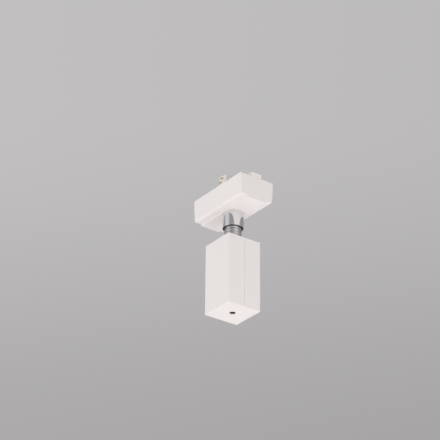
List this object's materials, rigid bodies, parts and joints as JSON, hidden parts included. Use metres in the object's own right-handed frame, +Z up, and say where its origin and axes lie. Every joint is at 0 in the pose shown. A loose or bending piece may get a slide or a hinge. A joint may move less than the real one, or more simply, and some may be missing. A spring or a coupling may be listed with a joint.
{
  "type": "track light adapter",
  "caption": "Pendant adapter for a surface track: a plug-in head with a twist lock, a chrome swivel and a square wiring block with a cord hole.",
  "frame": {"origin": "on the swivel axis, in the plane of the head's rim, where it meets the track's underside", "axes": "+Z up into the track, +X along the track, +Y to the side with the lock lever"},
  "size_m": [0.0658, 0.0363, 0.1234],
  "materials": {
    "white_plastic": "satin",
    "inner_plastic": "matte",
    "strip_plastic": "matte",
    "nylon": "satin",
    "chrome": "polished",
    "steel": "satin",
    "nickel": "satin",
    "spring_steel": "satin",
    "brass": "satin",
    "brown_sheath": "matte",
    "blue_sheath": "matte",
    "earth_sheath": "matte"
  },
  "bodies": {
    "head": {"housing": "white_plastic", "lid": "white_plastic", "lid_screws": "steel", "collar": "chrome", "tooth_washer": "spring_steel", "lock_nut": "brass", "stop_screw": "spring_steel"},
    "lock": {"turret": "inner_plastic", "live_blade": "brass", "neutral_blade": "brass", "earth_blade": "brass", "lock_lever": "white_plastic", "upper_live": "brown_sheath", "upper_neutral": "blue_sheath", "upper_earth": "earth_sheath"},
    "block": {"nipple": "nickel", "thrust_washer": "nylon", "disc_spring": "spring_steel", "top_nut": "brass", "front_shell": "white_plastic", "rear_shell": "white_plastic", "cover_screws": "steel", "terminal_strip": "strip_plastic", "strip_screws": "steel", "terminal_sleeves": "brass", "terminal_screws": "steel", "cord_clamp": "strip_plastic", "clamp_screws": "steel", "lower_live": "brown_sheath", "lower_neutral": "blue_sheath", "lower_earth": "earth_sheath"}
  },
  "joints": [
    {"name": "lock_turn", "type": "hinge", "parent": "head", "child": "lock", "pos_m": [0, 0, 0], "axis": [0, 0, -1], "range_deg": [0, 90]},
    {"name": "block_swivel", "type": "hinge", "parent": "head", "child": "block", "pos_m": [0, 0, -0.0345], "axis": [0, 0, 1], "range_deg": [-160, 160]}
  ]
}
